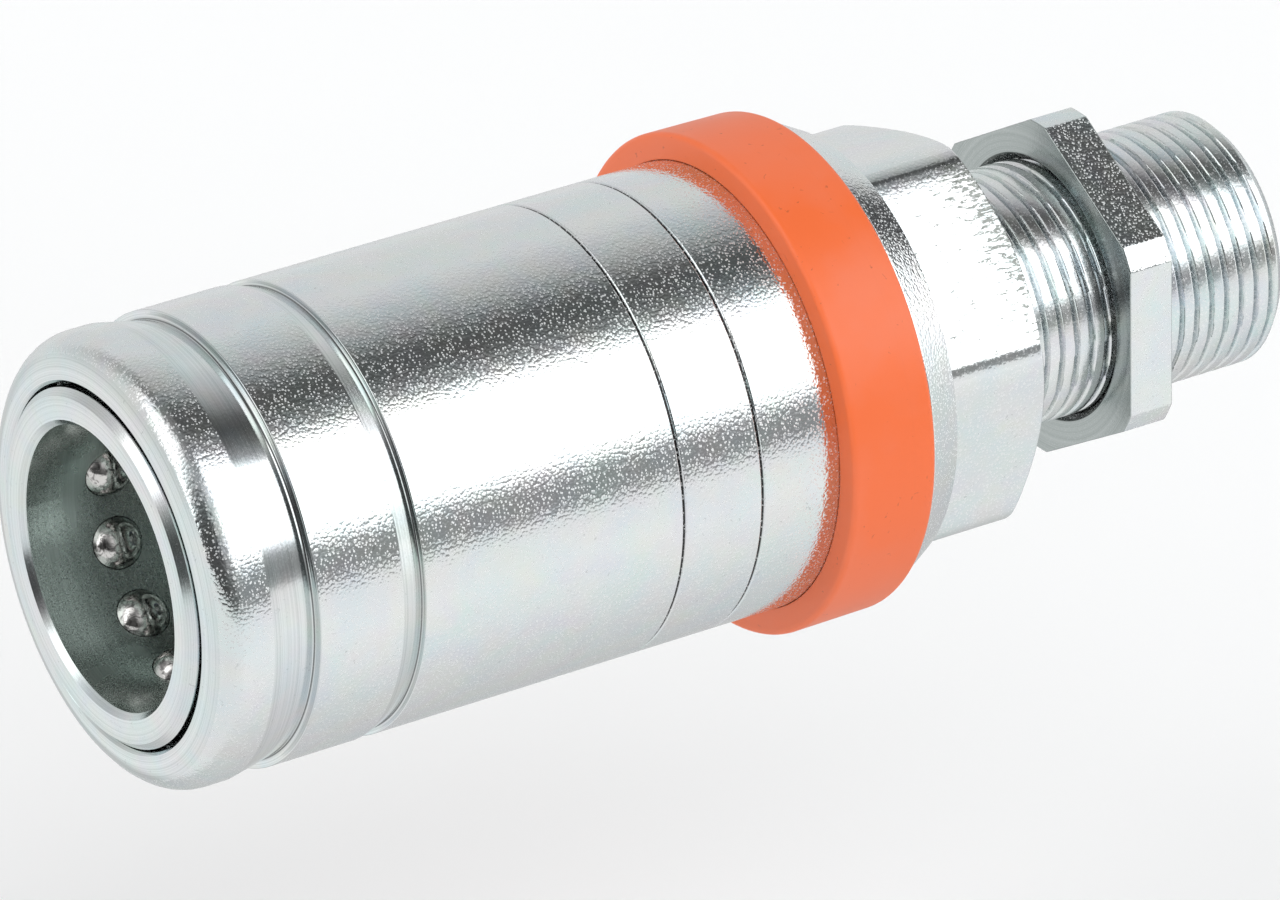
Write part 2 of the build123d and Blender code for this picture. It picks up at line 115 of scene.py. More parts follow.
class SleeveSizes(bpy.types.PropertyGroup):
    """Outline of the grip sleeve and its moulded ring."""
    radius: length("Radius", 19.0, "Outer radius of the sleeve")
    nose_round: length("Nose rounding", 3.0, "Rounding of the sleeve's front edge")
    flange_radius: length("Flange radius", 20.8, "Radius of the flange behind the ring")
    groove_depth: length("Front groove depth", 0.85, "Depth of the groove behind the nose")
    second_depth: length("Second groove depth", 0.6, "Depth of the second groove")
    line_depth: length("Line depth", 0.25, "Depth of the two fine lines")
    edge_break: length("Edge break", 0.09, "Rounding of the sleeve's sharp edges")
    ring_radius: length("Ring radius", 21.3, "Outer radius of the moulded ring")


class ThreadSizes(bpy.types.PropertyGroup):
    """Tube thread, hexagon and jam nut."""
    major_radius: length("Major radius", 10.95, "Radius over the thread's crests")
    pitch: length("Pitch", 1.5, "Pitch of the thread")
    depth: length("Depth", 0.55, "Depth of the thread")
    land: share("Land", 0.60, "Share of the pitch that the crest's land takes")
    hex_flat: length("Hexagon flat", 16.0, "Half of the hexagon's width across flats")
    hex_corner: length("Hexagon corner", 18.0, "Radius to which the hexagon's corners are turned")
    nut_flat: length("Nut flat", 13.5, "Half of the nut's width across flats")
    nut_corner: length("Nut corner", 15.0, "Radius to which the nut's corners are turned")


class FinishSettings(bpy.types.PropertyGroup):
    """Colours and surface of the finishes."""
    plate: colour("Plating", (0.80, 0.82, 0.815), "Colour of the zinc plating")
    plate_cool: colour("Cool tint", (0.70, 0.82, 0.84), "Cool tint of the plating")
    bore: colour("Bore", (0.75, 0.82, 0.79), "Colour of the socket's bore")
    ball: colour("Balls", (0.70, 0.68, 0.66), "Colour of the locking balls")
    ring: colour("Ring", (0.85, 0.152, 0.038), "Colour of the moulded ring")
    grain: length("Grain", 0.27, "Size of the plating's grain")
    grain_depth: length("Grain depth", 0.015, "Depth of the plating's grain")
    plate_roughness: share("Plating roughness", 0.10, "Roughness of the plating")


class StageSettings(bpy.types.PropertyGroup):
    """Camera, floor and light."""
    camera_place: bpy.props.FloatVectorProperty(
        name="Camera", description="Place of the camera", default=(-0.4736, -0.6975, 0.4432),
        size=3, subtype="TRANSLATION", unit="LENGTH")
    camera_turn: angle("Camera turn", -32.51, "Turn of the camera about the vertical")
    camera_tilt: angle("Camera tilt", 28.40, "Angle at which the camera looks down")
    lens: bpy.props.FloatProperty(name="Lens", description="Focal length for a sensor 36 mm wide",
                                  default=323.44, subtype="DISTANCE_CAMERA")
    floor_drop: length("Floor", 65.0, "Depth of the floor below the coupling's axis")
    floor_radius: length("Floor radius", 1500.0, "Radius of the round floor")
    floor_colour: colour("Floor colour", (0.97, 0.97, 0.97), "Colour of the floor")
    light_level: bpy.props.FloatProperty(name="Light level", description="Level of the studio light",
                                         default=1.0, min=0.0)


# Surfaces

def soften(corners, edges, steps=5):
    """Rounds the corners of a closed outline.

    corners is (n, m, 2), the n corners for each of m columns. A corner P with edge size e becomes
    ((1-t)^2 A + 2wt(1-t) P + t^2 B) / ((1-t)^2 + 2wt(1-t) + t^2), where A and B lie e from P towards
    its neighbours and w is cos 45 degrees, which makes a right-angled corner a circle's arc. One more
    point beyond A and one beyond B keep the flats flat in shading. Two corners whose sizes meet share
    the length between them.
    """
    edges = np.asarray(edges, float)[:, None, None]

    def towards(step):
        """Start of the rounding on the side of one neighbour, and the point beyond it."""
        aside = np.roll(corners, step, axis=0) - corners
        span = np.linalg.norm(aside, axis=-1, keepdims=True) + TINY
        room = edges / (edges + np.roll(edges, step, axis=0) + TINY)
        near = np.minimum(edges, 0.90 * room * span)
        beyond = np.minimum(1.35 * edges, 0.96 * room * span)
        return corners + aside / span * near, corners + aside / span * beyond

    a, a_far = towards(1)
    b, b_far = towards(-1)
    t = np.linspace(0.0, 1.0, steps)[None, :, None, None]
    pull = 2 * math.sqrt(0.5) * t * (1 - t)
    arc = (1 - t) ** 2 * a[:, None] + pull * corners[:, None] + t ** 2 * b[:, None]
    arc = arc / ((1 - t) ** 2 + pull + t ** 2)
    rows = np.concatenate([a_far[:, None], arc, b_far[:, None]], axis=1)
    rows = rows.reshape(-1, corners.shape[1], 2)
    advance = np.linalg.norm(rows - np.roll(rows, 1, axis=0), axis=-1).max(axis=1)
    doubled = 1e-5
    return rows[advance > doubled]


def turned_skin(name, rows, angles, sharp=35.0):
    """Closed surface round the X axis.

    rows is (n, m, 2) with m equal to 1 or to the number of angles: row i is carried round the axis
    at every angle v, at (x, r cos v, r sin v). The outline and the turn are both closed.
    """
    rows = np.broadcast_to(rows, (rows.shape[0], len(angles), 2)) * MM
    x, r = rows[..., 0], rows[..., 1]
    points = np.stack([x, r * np.cos(angles), r * np.sin(angles)], axis=-1)
    n, m = x.shape
    index = np.arange(n * m).reshape(n, m)
    next_row, next_turn = np.roll(index, -1, axis=0), np.roll(index, -1, axis=1)
    corner = np.roll(next_row, -1, axis=1)
    faces = np.stack([index, next_turn, corner, next_row], axis=-1).reshape(-1, 4)
    flat = points.reshape(-1, 3)
    quad = flat[faces]
    volume = np.einsum("ij,ij->i", quad[:, 0], np.cross(quad[:, 1], quad[:, 2])).sum()
    if volume < 0:
        faces = faces[:, ::-1]
    return new_piece(name, flat, faces, sharp)


def new_piece(name, points, faces, sharp):
    """Closed mesh of equal-sided faces, given as an array of their corners."""
    mesh = bpy.data.meshes.new(name)
    count, sides = faces.shape
    mesh.vertices.add(len(points))
    mesh.vertices.foreach_set("co", points.astype(np.float32).ravel())
    mesh.loops.add(count * sides)
    mesh.loops.foreach_set("vertex_index", faces.astype(np.int32).ravel())
    mesh.polygons.add(count)
    mesh.polygons.foreach_set("loop_start", np.arange(count, dtype=np.int32) * sides)
    mesh.update(calc_edges=True)
    mesh.validate()
    return shown(name, mesh, sharp)


def shown(name, mesh, sharp):
    """Smooth shaded object of a mesh, whose edges over the sharp angle stay crisp."""
    mesh.polygons.foreach_set("use_smooth", np.ones(len(mesh.polygons), dtype=bool))
    mesh.set_sharp_from_angle(angle=math.radians(sharp))
    piece = bpy.data.objects.new(name, mesh)
    bpy.context.scene.collection.objects.link(piece)
    return piece


def coil_skin(name, box, wire, coils):
    """Ground coil spring that fills a box along X.

    The wire's middle is (x0 + L t, R sin 2 pi n t, -R cos 2 pi n t) for t from 0 to 1, where L is the
    box's length, n the number of coils, and R its reach less half the wire. A circle of the wire's
    size, square to that line, is carried along it. x is held between the box's ends, which flattens
    the first and the last turn.
    """
    start, end, reach = box[0][0] / MM, box[1][0] / MM, max(box[1][1:]) / MM
    radius = reach - wire / 2
    steps, sides = 48, 14
    t = np.linspace(0.0, 1.0, coils * steps + 1)
    turn = 2 * math.pi * coils * t
    outward = np.stack([0 * turn, np.sin(turn), -np.cos(turn)], axis=-1)
    middle = radius * outward + np.outer(start + (end - start) * t, (1, 0, 0))
    rise = (end - start) / (2 * math.pi * coils * radius)
    forward = np.stack([0 * turn + rise, np.cos(turn), np.sin(turn)], axis=-1) / math.hypot(1, rise)
    across = np.cross(outward, forward)
    v = full_turn(sides)[None, :, None]
    circle = np.cos(v) * outward[:, None] + np.sin(v) * across[:, None]
    points = middle[:, None] + wire / 2 * circle
    points[..., 0] = np.clip(points[..., 0], start, end)
    index = np.arange(len(t) * sides).reshape(len(t), sides)
    beside = np.roll(index, -1, axis=1)
    walls = np.stack([index[:-1], index[1:], beside[1:], beside[:-1]], axis=-1).reshape(-1, 4)
    caps = [index[0].tolist(), index[-1, ::-1].tolist()]
    mesh = bpy.data.meshes.new(name)
    mesh.from_pydata((points.reshape(-1, 3) * MM).tolist(), [], walls.tolist() + caps)
    return shown(name, mesh, 50.0)


def outline(*stations):
    """Corners (n, 1, 2) and edge sizes from (x, radius) or (x, radius, edge) stations."""
    corners = np.array([[station[:2]] for station in stations], float)
    edges = [station[2] if len(station) > 2 else 0.0 for station in stations]
    return corners, edges


def turning_outline(stations, side):
    """Corners (n, m, 2) and edge sizes from (x, radius, edge) stations, whose x or radius may change
    round the turn as side does."""
    corners = [np.stack(np.broadcast_arrays(x, r, side)[:2], axis=-1) for x, r, _ in stations]
    return np.stack(corners), [edge for *_, edge in stations]


def full_turn(count):
    """Evenly spaced angles of a full turn."""
    return np.arange(count) * (2 * math.pi / count)


def hexagon_turn(clock, half_flat):
    """Angles of a full turn, closer together where a flat meets a turned corner."""
    creases = clock + 30 + np.arange(6)[:, None] * 60 + half_flat * np.array([-1.0, 1.0])
    around = np.array([-0.8, -0.5, -0.3, -0.15, 0.0, 0.15, 0.3, 0.5, 0.8])
    close = (creases.ravel()[:, None] + around).ravel() % 360
    clearance = 0.6
    count = 144
    even = np.arange(count) * 360 / count
    gap = np.abs((even[:, None] - close + 180) % 360 - 180).min(axis=1)
    return np.radians(np.sort(np.concatenate([even[gap > clearance], close])))


def hexagon_radius(angles, flat, corner, clock, blend=0.02):
    """Radius of a hexagon with turned corners: the soft minimum of flat / cos(d) and the corner
    radius, where d is the angle from the nearest flat's normal."""
    off = (np.degrees(angles) - clock) % 60 - 30
    sides = flat / np.cos(np.radians(off))
    return -blend * np.logaddexp(-sides / blend, -corner / blend)


def thread_radius(x, angles, sizes, start, end, runout=1.5):
    """Radius of a right-hand thread: the crest line x = pitch v / 2 pi bulges by a parabola over its
    land (a tenth of the depth) and falls by a smooth step to a narrow root, whose share of half the
    pitch is named root. The depth fades in over the runout, and a 45 degree cone ends it."""
    pitch, major = sizes.pitch / MM, sizes.major_radius / MM
    root, cone = 0.94, 0.9
    phase = x[:, None] / pitch - angles[None, :] / (2 * math.pi)
    off_crest = np.abs(2 * (phase % 1.0) - 1)
    fall = np.clip((off_crest - sizes.land) / (root - sizes.land), 0.0, 1.0)
    fall = 0.9 * fall * fall * (3 - 2 * fall) + 0.1 * off_crest * off_crest
    fade = np.clip((x - start) / runout, 0.0, 1.0)[:, None]
    radius = major - sizes.depth / MM * fall * fade
    return np.minimum(radius, major - cone + (end - x)[:, None])


# Finishes

class Finish:
    """Node material, with short calls for the nodes it is made of."""

    def __init__(self, name, roughness, metallic=1.0):
        self.material = bpy.data.materials.new(name)
        self.material.use_nodes = True
        self.tree = self.material.node_tree
        self.tree.nodes.clear()
        output = self.tree.nodes.new("ShaderNodeOutputMaterial")
        self.shader = self.tree.nodes.new("ShaderNodeBsdfPrincipled")
        self.shader.inputs["Metallic"].default_value = metallic
        self.shader.inputs["Roughness"].default_value = roughness
        self.tree.links.new(self.shader.outputs[0], output.inputs[0])
        self.place = self.tree.nodes.new("ShaderNodeTexCoord").outputs["Object"]

    def put(self, value, socket):
        """Links an output, or sets a constant."""
        if isinstance(value, bpy.types.NodeSocket):
            self.tree.links.new(value, socket)
        elif isinstance(value, tuple) and len(value) == 3 and socket.type == "RGBA":
            socket.default_value = (*value, 1.0)
        else:
            socket.default_value = value

    def calc(self, operation, *values):
        """Math node."""
        node = self.tree.nodes.new("ShaderNodeMath")
        node.operation = operation
        for value, socket in zip(values, node.inputs):
            self.put(value, socket)
        return node.outputs[0]

    def noise(self, grain, place=None, detail=2.0, roughness=0.55, distortion=0.0, tinted=False):
        """Noise whose features are about one grain (mm) across."""
        node = self.tree.nodes.new("ShaderNodeTexNoise")
        self.put(place or self.place, node.inputs["Vector"])
        node.inputs["Scale"].default_value = 1 / (grain * MM)
        node.inputs["Detail"].default_value = detail
        node.inputs["Roughness"].default_value = roughness
        node.inputs["Distortion"].default_value = distortion
        return node.outputs["Color" if tinted else "Fac"]

    def pebbles(self, grain):
        """Rounded heights about scattered points one grain (mm) apart: 1 less the squared distance."""
        node = self.tree.nodes.new("ShaderNodeTexVoronoi")
        node.feature = "SMOOTH_F1"
        self.put(self.place, node.inputs["Vector"])
        node.inputs["Scale"].default_value = 1 / (grain * MM)
        node.inputs["Smoothness"].default_value = 0.35
        far = node.outputs["Distance"]
        return self.calc("SUBTRACT", 1.0, self.calc("MULTIPLY", far, far))

    def steps(self, value, low, high, to_low=0.0, to_high=1.0):
        """Clamped straight map of a value."""
        node = self.tree.nodes.new("ShaderNodeMapRange")
        for item, name in ((value, "Value"), (low, "From Min"), (high, "From Max"),
                           (to_low, "To Min"), (to_high, "To Max")):
            self.put(item, node.inputs[name])
        return node.outputs["Result"]

    def blend(self, factor, first, second, mode="MIX"):
        """Mix of two colours."""
        node = self.tree.nodes.new("ShaderNodeMix")
        node.data_type = "RGBA"
        node.blend_type = mode
        self.put(factor, node.inputs["Factor"])
        self.put(first, node.inputs["A"])
        self.put(second, node.inputs["B"])
        return node.outputs["Result"]

    def around(self):
        """Place along the axis, distance from it, and the two as coordinates of turned marks."""
        apart = self.tree.nodes.new("ShaderNodeSeparateXYZ")
        self.put(self.place, apart.inputs[0])
        across, up = apart.outputs["Y"], apart.outputs["Z"]
        square = self.calc("ADD", self.calc("MULTIPLY", across, across), self.calc("MULTIPLY", up, up))
        radius = self.calc("SQRT", square)
        join = self.tree.nodes.new("ShaderNodeCombineXYZ")
        self.put(apart.outputs["X"], join.inputs["X"])
        self.put(radius, join.inputs["Y"])
        return apart.outputs["X"], radius, join.outputs[0]

    def relief(self, *layers):
        """Bumps laid on each other: (height, depth in mm) each."""
        normal = None
        for height, depth in layers:
            node = self.tree.nodes.new("ShaderNodeBump")
            node.inputs["Strength"].default_value = 1.0
            node.inputs["Distance"].default_value = depth * MM
            self.put(height, node.inputs["Height"])
            if normal is not None:
                self.put(normal, node.inputs["Normal"])
            normal = node.outputs["Normal"]
        self.put(normal, self.shader.inputs["Normal"])
        return self

    def to(self, name, value):
        """Sets or links one of the shader's inputs."""
        self.put(value, self.shader.inputs[name])
        return self


NICK = (0.30, 0.31, 0.31)       # small dents with dirt in them
WORN = (0.26, 0.275, 0.26)      # plating rubbed through
SPECK = (0.95, 0.96, 0.96)      # matt tops of the pebbles
TURNED = (0.45, 0.50, 0.48)     # dark lines of the lathe's tool
LINE_SHADE = (0.08, 0.08, 0.08)        # painted shade in the fine lines
FOOT_SHADE = (0.22, 0.23, 0.23)       # painted shade at the grooves' feet


def plating(name, settings, grain=1.0, depth=1.0, marks=0.0, tint=1.0, roughness=None, frost=1.0,
            ground=(), dark=(), brushed=0.0, scuffs=None):
    """Bright zinc plating: fine pebbles with matt tops, turned marks, and a faint iridescence.

    The pebbles stop in the ground stretches (from, to) along the axis. Where the mask of a dark entry
    is 1, its colour and extra roughness apply, and where the scuffs' mask is 1 the plating is worn.
    """
    roughness = settings.plate_roughness if roughness is None else roughness
    finish = Finish(name, roughness)
    size = settings.grain / MM * grain
    along, radius, rings = finish.around()
    peel = finish.pebbles(size)
    lines = finish.noise(0.13, rings, detail=3.0, roughness=0.7)
    clouds = finish.noise(6.0, detail=3.0, roughness=0.6)
    stains = finish.noise(1.6, detail=1.0, tinted=True)
    bands = finish.noise(4.5, detail=1.0, distortion=0.8, tinted=True)
    base = finish.blend(finish.steps(clouds, 0.42, 0.66, 0.0, 0.6 * tint),
                        tuple(settings.plate), tuple(settings.plate_cool))
    base = finish.blend(0.03 * tint, base, stains, "COLOR")
    base = finish.blend(0.07 * tint, base, bands, "COLOR")
    smooth = finish.steps(clouds, 0.3, 0.7, roughness * 0.85, roughness * 1.25)
    nicks = finish.noise(0.55, detail=2.0, distortion=1.5)
    base = finish.blend(finish.steps(nicks, 0.68, 0.74, 0.0, 0.35), base, NICK)
    for mask, shade, dull in dark:
        covered = mask(finish, along, radius)
        base = finish.blend(covered, base, shade)
        smooth = finish.calc("ADD", smooth, finish.steps(covered, 0.0, 1.0, 0.0, dull))
    if scuffs:
        worn = scuffs(finish, along)
        base = finish.blend(worn, base, WORN)
        smooth = finish.calc("ADD", smooth, finish.steps(worn, 0.0, 1.0, 0.0, 0.15))
    grained = 1.0
    for start, end in ground:
        inside = finish.calc("MULTIPLY", finish.steps(along, (start - 0.1) * MM, start * MM),
                             finish.steps(along, (end + 0.1) * MM, end * MM))
        grained = finish.calc("MULTIPLY", grained, finish.steps(inside, 0.0, 1.0, 1.0, 0.1))
    if brushed:
        turned = finish.calc("MULTIPLY", finish.steps(lines, 0.40, 0.62, 0.0, brushed),
                             finish.calc("SUBTRACT", 1.0, grained))
        base = finish.blend(turned, base, TURNED, "MULTIPLY")
    specks = finish.calc("MULTIPLY", finish.steps(peel, 0.88, 0.92), grained)
    finish.to("Base Color", finish.blend(finish.calc("MULTIPLY", specks, 0.7), base, SPECK))
    matt = finish.steps(specks, 0.0, 1.0, 0.0, 0.42 * frost)
    finish.to("Roughness", finish.calc("ADD", smooth, matt))
    layers = [(finish.calc("MULTIPLY", peel, grained), settings.grain_depth / MM * depth)]
    if marks:
        layers.append((lines, marks))
    return finish.relief(*layers).material


def socket_plating(settings):
    """Body finish: bright at the mouth, dark green-grey with turned lines and scratches in the bore."""
    def inside(finish, along, radius):
        """1 on the bore's wall, 0 on the mouth."""
        near = finish.steps(radius, 12.25 * MM, 11.95 * MM)
        behind = finish.steps(along, (FACE + 0.2) * MM, (FACE + 0.7) * MM)
        return finish.calc("MULTIPLY", near, behind)

    return plating("socket steel", settings, depth=0.9, marks=0.005, roughness=0.15,
                   ground=((FACE - 0.2, -40.0),), dark=((inside, tuple(settings.bore), 0.10),),
                   brushed=0.35)


def ball_steel(settings):
    """Hardened steel balls with blotchy wear."""
    finish = Finish("ball steel", 0.10)
    blotch = finish.noise(0.8, detail=4.0, roughness=0.6, distortion=1.2)
    rubbed = finish.steps(blotch, 0.50, 0.60)
    finish.to("Base Color", finish.blend(rubbed, tuple(settings.ball), (0.24, 0.23, 0.225)))
    finish.to("Roughness", finish.steps(blotch, 0.45, 0.62, 0.03, 0.10))
    return finish.relief((blotch, 0.03)).material


def moulded(settings):
    """Satin moulded ring with faint scuffs."""
    finish = Finish("moulded ring", 0.40, 0.0)
    _, _, rings = finish.around()
    grain = finish.noise(0.28, detail=2.0)
    scuff = finish.noise(2.6, rings, detail=5.0, roughness=0.7)
    patch = finish.noise(9.0, detail=3.0)
    colour_of_ring = tuple(settings.ring)
    paler = tuple(min(1.0, c * 0.9 + 0.06) for c in colour_of_ring)
    mixed = finish.blend(finish.steps(patch, 0.45, 0.7, 0.0, 0.5), colour_of_ring, paler)
    marked = finish.blend(finish.steps(scuff, 0.62, 0.8, 0.0, 0.4), mixed, (0.70, 0.13, 0.04))
    nicks = finish.noise(0.9, detail=3.0, distortion=1.0)
    nicked = finish.blend(finish.steps(nicks, 0.68, 0.74, 0.0, 0.5), marked, (0.30, 0.05, 0.02))
    finish.to("Base Color", nicked)
    finish.to("Roughness", finish.steps(patch, 0.3, 0.7, 0.34, 0.46))
    return finish.relief((grain, 0.006), (scuff, 0.01)).material


def plain_steel(name, base, roughness, grain=0.6, depth=0.01):
    """Inner steel parts with a light mottle."""
    finish = Finish(name, roughness)
    mottle = finish.noise(grain, detail=3.0, roughness=0.6)
    darker = tuple(c * 0.7 for c in base)
    finish.to("Base Color", finish.blend(finish.steps(mottle, 0.35, 0.7), base, darker))
    finish.to("Roughness", finish.steps(mottle, 0.3, 0.7, roughness * 0.8, roughness * 1.3))
    return finish.relief((mottle, depth)).material


def soft_part(name, base, roughness):
    """Rubber and plastic inner parts with a fine grain."""
    finish = Finish(name, roughness, 0.0)
    mottle = finish.noise(0.4, detail=3.0, roughness=0.6)
    paler = tuple(min(1.0, c * 1.2 + 0.01) for c in base)
    finish.to("Base Color", finish.blend(finish.steps(mottle, 0.35, 0.7), base, paler))
    finish.to("Roughness", finish.steps(mottle, 0.3, 0.7, roughness * 0.85, min(1.0, roughness * 1.2)))
    return finish.relief((mottle, 0.008)).material


def seat(piece, body, material, slot, *nodes):
    """Gives a piece its finish, body and the model nodes it stands for."""
    piece.data.materials.clear()
    piece.data.materials.append(material)
    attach(piece, body)
    if nodes:
        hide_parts(*nodes)


def dress(node, material):
    """Gives a model node its finish."""
    for slot in frame["nodes"][node].material_slots:
        slot.material = material


# Pieces

def sleeve_outline(sizes):
    """Closed outline of the grip sleeve from its front lip round the outside and back inside."""
    r = sizes.radius / MM
    edge = sizes.edge_break / MM
    front, flange, rim = FACE + 0.6, -14.1, -10.5
    groove, second = FACE + 9.45, FACE + 19.2
    fine = [(FACE + at + step, r - (sizes.line_depth / MM if step == 0 else 0), 0.05)
            for at in (43.5, 51.0) for step in (-0.2, 0.0, 0.2)]
    return outline(
        (front, 15.54, 0.06), (front, r, sizes.nose_round / MM),
        (FACE + 5.3, r, 0.05), (groove, r - sizes.groove_depth / MM, 0.4), (groove, r, edge),
        (FACE + 17.2, r, 0.04), (second, r - sizes.second_depth / MM, 0.3), (second, r, edge),
        *fine,
        (flange, r), (flange, sizes.flange_radius / MM, 0.2), (rim, 18.85, 0.12), (rim, 18.06, 0.08),
        (-23.2, 18.06), (-23.2, 16.9), (-24.35, 16.9), (-24.35, 17.75), (-25.6, 17.75), (-25.6, 16.9),
        (-60.4, 16.9), (-60.4, 15.03), (-65.1, 15.03), (-65.1, 16.79), (-68.91, 16.79), (-70.5, 15.2),
        (-73.9, 15.2), (-75.49, 16.79), (-79.1, 16.79), (-79.1, 15.24, 0.05), (front + 0.3, 15.24, 0.05))


class COUPLING_OT_sleeve(bpy.types.Operator):
    """Builds the plated grip sleeve"""
    bl_idname = "coupling.sleeve"
    bl_label = "Grip sleeve"

    def execute(self, context):
        corners, edges = sleeve_outline(context.scene.coupling_sleeve)
        piece = turned_skin("grip_sleeve_skin", soften(corners, edges, 9), full_turn(224))
        stretches = ((FACE + 0.5, FACE + 1.0), (FACE + 5.3, FACE + 9.5), (FACE + 17.2, FACE + 19.2))
        outside = context.scene.coupling_sleeve.radius

        def line(at, half, low):
            """Mask of 1 close to a station of the axis, below a depth under the sleeve's outside."""
            fade = 0.05

            def mask(finish, along, radius):
                off = finish.calc("ABSOLUTE", finish.calc("SUBTRACT", along, (FACE + at) * MM))
                near = finish.steps(off, (half + fade) * MM, half * MM)
                below = finish.steps(radius, outside - (low - fade) * MM, outside - low * MM)
                return finish.calc("MULTIPLY", near, below)
            return mask

        # Painted shade: dark colours laid in the two fine lines and at the feet of the two grooves, where
        # shade falls.
        painted_shade_lines = [(line(43.5, 0.08, 0.05), LINE_SHADE, 0.1), (line(51.0, 0.08, 0.05), LINE_SHADE, 0.1),
                 (line(9.30, 0.03, 0.65), FOOT_SHADE, 0.1), (line(19.08, 0.03, 0.42), FOOT_SHADE, 0.1)]
        finish = plating("sleeve plating", context.scene.coupling_finish, marks=0.003, ground=stretches,
                         dark=painted_shade_lines, brushed=0.35)
        seat(piece, "grip_sleeve", finish, "sleeve_plate", "outer_sleeve")
        return {"FINISHED"}


class COUPLING_OT_ring(bpy.types.Operator):
    """Builds the moulded colour ring"""
    bl_idname = "coupling.ring"
    bl_label = "Colour ring"

    def execute(self, context):
        r = context.scene.coupling_sleeve.ring_radius / MM
        bore, front, rear = 19.02, -22.1, -14.12
        corners, edges = outline((front, bore, 0.1), (front, r, 0.45),
                                 (rear, r - 0.1, 0.45), (rear, bore, 0.1))
        piece = turned_skin("colour_ring_skin", soften(corners, edges, 6), full_turn(224))
        seat(piece, "grip_sleeve", moulded(context.scene.coupling_finish), "ring_plastic", "colour_ring")
        return {"FINISHED"}


class COUPLING_OT_adapter(bpy.types.Operator):
    """Builds the collar, the hexagon and the threaded tube end"""
    bl_idname = "coupling.adapter"
    bl_label = "Hexagon and thread"

    def execute(self, context):
        sizes = context.scene.coupling_thread
        settings = context.scene.coupling_finish
        flat, corner = sizes.hex_flat / MM, sizes.hex_corner / MM
        clock, face = 43.4, flat - 0.2
        angles = hexagon_turn(clock, math.degrees(math.acos(flat / corner)))
        side = hexagon_radius(angles, flat, corner, clock, 0.2)
        chamfer = (side - face) * math.tan(math.radians(30))
        stations = [
            (-27.0, 6.0, 0), (-30.0, 9.0, 0.1), (-30.0, 12.93, 0.15), (-28.8, 12.93, 0),
            (-28.8, 11.18, 0), (-25.8, 11.18, 0), (-25.8, 12.93, 0), (-18.4, 12.93, 0),
            (-18.4, 17.6, 0.1), (-18.0, corner, 0.1), (-10.2, corner, 0.06), (-10.2, side, 0.1),
            (-chamfer, side, 0.12), (0.0, face, 0.15), (0.0, 6.0, 0)]
        rows = soften(*turning_outline(stations, side))
        piece = turned_skin("adapter_hexagon", rows, angles, 40.0)

        def scuffs(finish, along):
            """Strokes along the axis on one flat, thickening towards its rear edge."""
            apart = finish.tree.nodes.new("ShaderNodeSeparateXYZ")
            finish.put(finish.place, apart.inputs[0])
            facing = math.radians(clock + 90)

            def share_of(y, z):
                return finish.calc("ADD", finish.calc("MULTIPLY", apart.outputs["Y"], y),
                                   finish.calc("MULTIPLY", apart.outputs["Z"], z))

            height = share_of(math.cos(facing), math.sin(facing))
            across = share_of(math.sin(facing), -math.cos(facing))
            join = finish.tree.nodes.new("ShaderNodeCombineXYZ")
            finish.put(finish.calc("MULTIPLY", along, 0.25), join.inputs["X"])
            finish.put(across, join.inputs["Y"])
            stroke = finish.noise(0.26, join.outputs[0], detail=3.0, roughness=0.6, distortion=0.5)
            rear = finish.calc("ADD", along, finish.calc("MULTIPLY", across, 0.2))
            thicker = finish.steps(rear, -4.2 * MM, 0.6 * MM, 0.62, 0.40)
            on_flat = finish.steps(height, (flat - 0.35) * MM, (flat - 0.15) * MM)
            marks = finish.steps(finish.calc("SUBTRACT", stroke, thicker), 0.0, 0.05)
            return finish.calc("MULTIPLY", on_flat, marks)

        finish = plating("hexagon plating", settings, depth=0.6, marks=0.002, frost=0.35, scuffs=scuffs)
        seat(piece, "coupling_body", finish, "adapter_plate", "adapter")
        turn = full_turn(144)
        end = 27.8
        x = np.linspace(0.0, end, 298)
        crests = thread_radius(x, turn, sizes, 0.6, end)
        thread = np.stack(np.broadcast_arrays(x[:, None], crests), axis=-1)
        inside, _ = outline((end, 8.5), (23.33, 7.55), (20.8, 7.55), (20.8, 6.0), (0.0, 6.0))
        inside = np.broadcast_to(inside, (len(inside), len(turn), 2))
        piece = turned_skin("adapter_thread", np.concatenate([thread, inside]), turn, 50.0)
        crest = sizes.major_radius

        def root(finish, along, radius):
            """1 in the thread's roots, which get a painted shade, 0 on its crests and inside the bore."""
            low = finish.steps(radius, crest - 0.15 * MM, crest - 0.5 * MM)
            return finish.calc("MULTIPLY", low, finish.steps(radius, 8.8 * MM, 9.2 * MM, 0.0, 0.8))

        # The darker colour in the roots is painted shade.
        finish = plating("thread plating", settings, depth=0.35, marks=0.006, tint=1.2, roughness=0.19,
                         frost=0.3, dark=((root, (0.45, 0.50, 0.52), 0.0),))
        seat(piece, "coupling_body", finish, "adapter_plate", "adapter")
        return {"FINISHED"}


